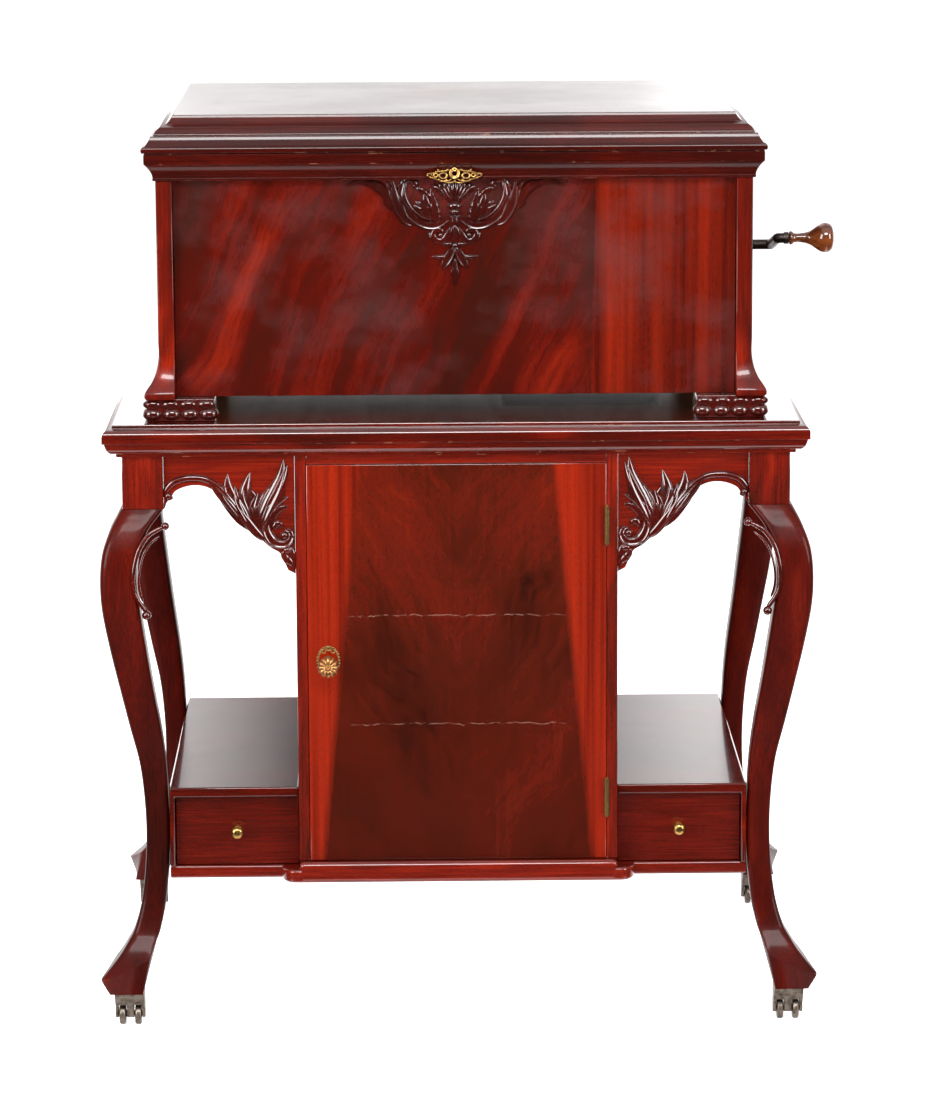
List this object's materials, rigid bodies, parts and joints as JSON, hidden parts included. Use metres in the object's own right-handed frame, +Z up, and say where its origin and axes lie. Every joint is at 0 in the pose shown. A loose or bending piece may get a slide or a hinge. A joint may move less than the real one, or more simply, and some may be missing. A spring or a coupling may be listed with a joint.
{
  "type": "radio phonograph console",
  "caption": "Crank-wound disc phonograph with hinged lid and internal horn, on a matching record cabinet stand with cabriole legs, side shelves, drawers and casters.",
  "frame": {"origin": "centre of the bounding box on the floor", "axes": "+X to the right as seen from the front, where the crank is; front faces -Y; +Z up"},
  "size_m": [0.9704, 0.6298, 1.2045],
  "materials": {
    "stand_top": "glossy red mahogany, french polished",
    "leg_front_left": "glossy red mahogany, french polished",
    "leg_front_right": "glossy red mahogany, french polished",
    "leg_rear_left": "glossy red mahogany, french polished",
    "leg_rear_right": "glossy red mahogany, french polished",
    "apron_front_left": "carved and polished mahogany",
    "apron_front_right": "carved and polished mahogany",
    "apron_rear": "glossy red mahogany, french polished",
    "apron_side_left": "glossy red mahogany, french polished",
    "apron_side_right": "glossy red mahogany, french polished",
    "cabinet_side_left": "glossy red mahogany, french polished",
    "cabinet_side_right": "glossy red mahogany, french polished",
    "cabinet_back": "dark red mahogany, french polished",
    "door_header": "glossy red mahogany, french polished",
    "base_board": "glossy red mahogany, french polished",
    "side_shelf_left": "glossy red mahogany, french polished",
    "side_shelf_right": "glossy red mahogany, french polished",
    "record_rack": "bare softwood, lightly varnished",
    "door": "glossy red mahogany, french polished",
    "door_hinge_upper": "aged polished brass",
    "door_hinge_lower": "aged polished brass",
    "door_knob": "aged polished brass",
    "drawer_left": "glossy red mahogany, french polished",
    "drawer_right": "glossy red mahogany, french polished",
    "drawer_knob_left": "aged polished brass",
    "drawer_knob_right": "aged polished brass",
    "caster_horn_front_left": "dark patinated bronze",
    "caster_horn_front_right": "dark patinated bronze",
    "caster_horn_rear_left": "dark patinated bronze",
    "caster_horn_rear_right": "dark patinated bronze",
    "caster_wheels_front_left": "dark patinated bronze",
    "caster_wheels_front_right": "dark patinated bronze",
    "caster_wheels_rear_left": "dark patinated bronze",
    "caster_wheels_rear_right": "dark patinated bronze",
    "case_bottom": "bare softwood, lightly varnished",
    "case_front": "glossy red mahogany, french polished",
    "case_side_left": "glossy red mahogany, french polished",
    "case_side_right": "glossy red mahogany, french polished",
    "case_back": "dark red mahogany, french polished",
    "cornice": "dark red mahogany, french polished",
    "corner_post_left": "glossy red mahogany, french polished",
    "corner_post_right": "glossy red mahogany, french polished",
    "carved_foot_front_left": "carved and polished mahogany",
    "carved_foot_front_right": "carved and polished mahogany",
    "carved_foot_rear_left": "carved and polished mahogany",
    "carved_foot_rear_right": "carved and polished mahogany",
    "lid": "dark red mahogany, french polished",
    "lid_stay": "aged polished brass",
    "lid_hinge": "aged polished brass",
    "lock_escutcheon": "aged polished brass",
    "motor_board": "dark red mahogany, french polished",
    "motor_frame": "black japanned iron",
    "spring_barrel": "black japanned iron",
    "governor": "aged polished brass",
    "turntable": "green felt over a pressed platter",
    "horn": "black japanned iron",
    "tone_arm": "aged polished brass",
    "sound_box": "aged polished brass",
    "crank": "black japanned iron",
    "crank_handle": "turned and varnished fruitwood"
  },
  "bodies": {
    "console": {"stand_top": "stand_top", "leg_front_left": "leg_front_left", "leg_front_right": "leg_front_right", "leg_rear_left": "leg_rear_left", "leg_rear_right": "leg_rear_right", "apron_front_left": "apron_front_left", "apron_front_right": "apron_front_right", "apron_rear": "apron_rear", "apron_side_left": "apron_side_left", "apron_side_right": "apron_side_right", "cabinet_side_left": "cabinet_side_left", "cabinet_side_right": "cabinet_side_right", "cabinet_back": "cabinet_back", "door_header": "door_header", "base_board": "base_board", "side_shelf_left": "side_shelf_left", "side_shelf_right": "side_shelf_right", "record_rack": "record_rack", "door_hinge_upper": "door_hinge_upper", "door_hinge_lower": "door_hinge_lower", "case_bottom": "case_bottom", "case_front": "case_front", "case_side_left": "case_side_left", "case_side_right": "case_side_right", "case_back": "case_back", "cornice": "cornice", "corner_post_left": "corner_post_left", "corner_post_right": "corner_post_right", "carved_foot_front_left": "carved_foot_front_left", "carved_foot_front_right": "carved_foot_front_right", "carved_foot_rear_left": "carved_foot_rear_left", "carved_foot_rear_right": "carved_foot_rear_right", "lid_hinge": "lid_hinge", "lock_escutcheon": "lock_escutcheon", "motor_board": "motor_board", "motor_frame": "motor_frame", "horn": "horn"},
    "lid": {"lid": "lid", "lid_stay": "lid_stay"},
    "crank": {"crank": "crank"},
    "crank_handle": {"crank_handle": "crank_handle"},
    "spring_barrel": {"spring_barrel": "spring_barrel"},
    "governor": {"governor": "governor"},
    "turntable": {"turntable": "turntable"},
    "tone_arm": {"tone_arm": "tone_arm"},
    "sound_box": {"sound_box": "sound_box"},
    "door": {"door": "door"},
    "door_knob": {"door_knob": "door_knob"},
    "drawer_left": {"drawer_left": "drawer_left", "drawer_knob_left": "drawer_knob_left"},
    "drawer_right": {"drawer_right": "drawer_right", "drawer_knob_right": "drawer_knob_right"},
    "caster_front_left": {"caster_horn_front_left": "caster_horn_front_left"},
    "caster_wheels_front_left": {"caster_wheels_front_left": "caster_wheels_front_left"},
    "caster_front_right": {"caster_horn_front_right": "caster_horn_front_right"},
    "caster_wheels_front_right": {"caster_wheels_front_right": "caster_wheels_front_right"},
    "caster_rear_left": {"caster_horn_rear_left": "caster_horn_rear_left"},
    "caster_wheels_rear_left": {"caster_wheels_rear_left": "caster_wheels_rear_left"},
    "caster_rear_right": {"caster_horn_rear_right": "caster_horn_rear_right"},
    "caster_wheels_rear_right": {"caster_wheels_rear_right": "caster_wheels_rear_right"}
  },
  "joints": [
    {"name": "lid_hinge", "type": "hinge", "parent": "console", "child": "lid", "pos_m": [-0.0128, 0.265, 1.1585], "axis": [-1, 0, 0], "range_deg": [0, 75]},
    {"name": "crank_turn", "type": "hinge", "parent": "console", "child": "crank", "pos_m": [0.2372, -0.06, 1.01], "axis": [1, 0, 0], "continuous": true},
    {"name": "crank_handle_spin", "type": "hinge", "parent": "crank", "child": "crank_handle", "pos_m": [0.4552, -0.16779, 1.03193], "axis": [1, 0, 0], "continuous": true},
    {"name": "spring_barrel_turn", "type": "hinge", "parent": "console", "child": "spring_barrel", "pos_m": [0.0332, -0.06, 1.01], "axis": [1, 0, 0], "continuous": true},
    {"name": "turntable_spin", "type": "hinge", "parent": "console", "child": "turntable", "pos_m": [-0.0328, -0.06, 1.094], "axis": [0, 0, 1], "continuous": true},
    {"name": "governor_spin", "type": "hinge", "parent": "console", "child": "governor", "pos_m": [-0.0608, -0.06, 1.02], "axis": [0, 0, 1], "continuous": true},
    {"name": "tone_arm_swing", "type": "hinge", "parent": "console", "child": "tone_arm", "pos_m": [0.1622, 0.14, 1.094], "axis": [0, 0, -1], "range_deg": [0, 28]},
    {"name": "sound_box_tilt", "type": "hinge", "parent": "tone_arm", "child": "sound_box", "pos_m": [0.1462, -0.118, 1.15], "axis": [-1, 0, 0], "range_deg": [0, 100]},
    {"name": "door_hinge", "type": "hinge", "parent": "console", "child": "door", "pos_m": [0.183, -0.276, 0.4876], "axis": [0, 0, 1], "range_deg": [0, 90]},
    {"name": "door_knob_turn", "type": "hinge", "parent": "door", "child": "door_knob", "pos_m": [-0.1817, -0.282, 0.49], "axis": [0, -1, 0], "range_deg": [0, 90]},
    {"name": "drawer_left_slide", "type": "slide", "parent": "console", "child": "drawer_left", "axis": [0, -1, 0], "range_m": [0, 0.26]},
    {"name": "drawer_right_slide", "type": "slide", "parent": "console", "child": "drawer_right", "axis": [0, -1, 0], "range_m": [0, 0.26]},
    {"name": "caster_front_left_swivel", "type": "hinge", "parent": "console", "child": "caster_front_left", "pos_m": [-0.4498, -0.2795, 0.0497], "axis": [0, 0, 1], "continuous": true},
    {"name": "caster_front_left_roll", "type": "hinge", "parent": "caster_front_left", "child": "caster_wheels_front_left", "pos_m": [-0.4498, -0.2715, 0.014], "axis": [1, 0, 0], "continuous": true},
    {"name": "caster_front_right_swivel", "type": "hinge", "parent": "console", "child": "caster_front_right", "pos_m": [0.4242, -0.2795, 0.0497], "axis": [0, 0, 1], "continuous": true},
    {"name": "caster_front_right_roll", "type": "hinge", "parent": "caster_front_right", "child": "caster_wheels_front_right", "pos_m": [0.4242, -0.2715, 0.014], "axis": [1, 0, 0], "continuous": true},
    {"name": "caster_rear_left_swivel", "type": "hinge", "parent": "console", "child": "caster_rear_left", "pos_m": [-0.4498, 0.2795, 0.0497], "axis": [0, 0, 1], "continuous": true},
    {"name": "caster_rear_left_roll", "type": "hinge", "parent": "caster_rear_left", "child": "caster_wheels_rear_left", "pos_m": [-0.4498, 0.2875, 0.014], "axis": [1, 0, 0], "continuous": true},
    {"name": "caster_rear_right_swivel", "type": "hinge", "parent": "console", "child": "caster_rear_right", "pos_m": [0.4242, 0.2795, 0.0497], "axis": [0, 0, 1], "continuous": true},
    {"name": "caster_rear_right_roll", "type": "hinge", "parent": "caster_rear_right", "child": "caster_wheels_rear_right", "pos_m": [0.4242, 0.2875, 0.014], "axis": [1, 0, 0], "continuous": true}
  ],
  "couplings": [
    {"joint": "spring_barrel_turn", "follows": "crank_turn", "ratio": 1},
    {"joint": "governor_spin", "follows": "turntable_spin", "ratio": -10}
  ]
}
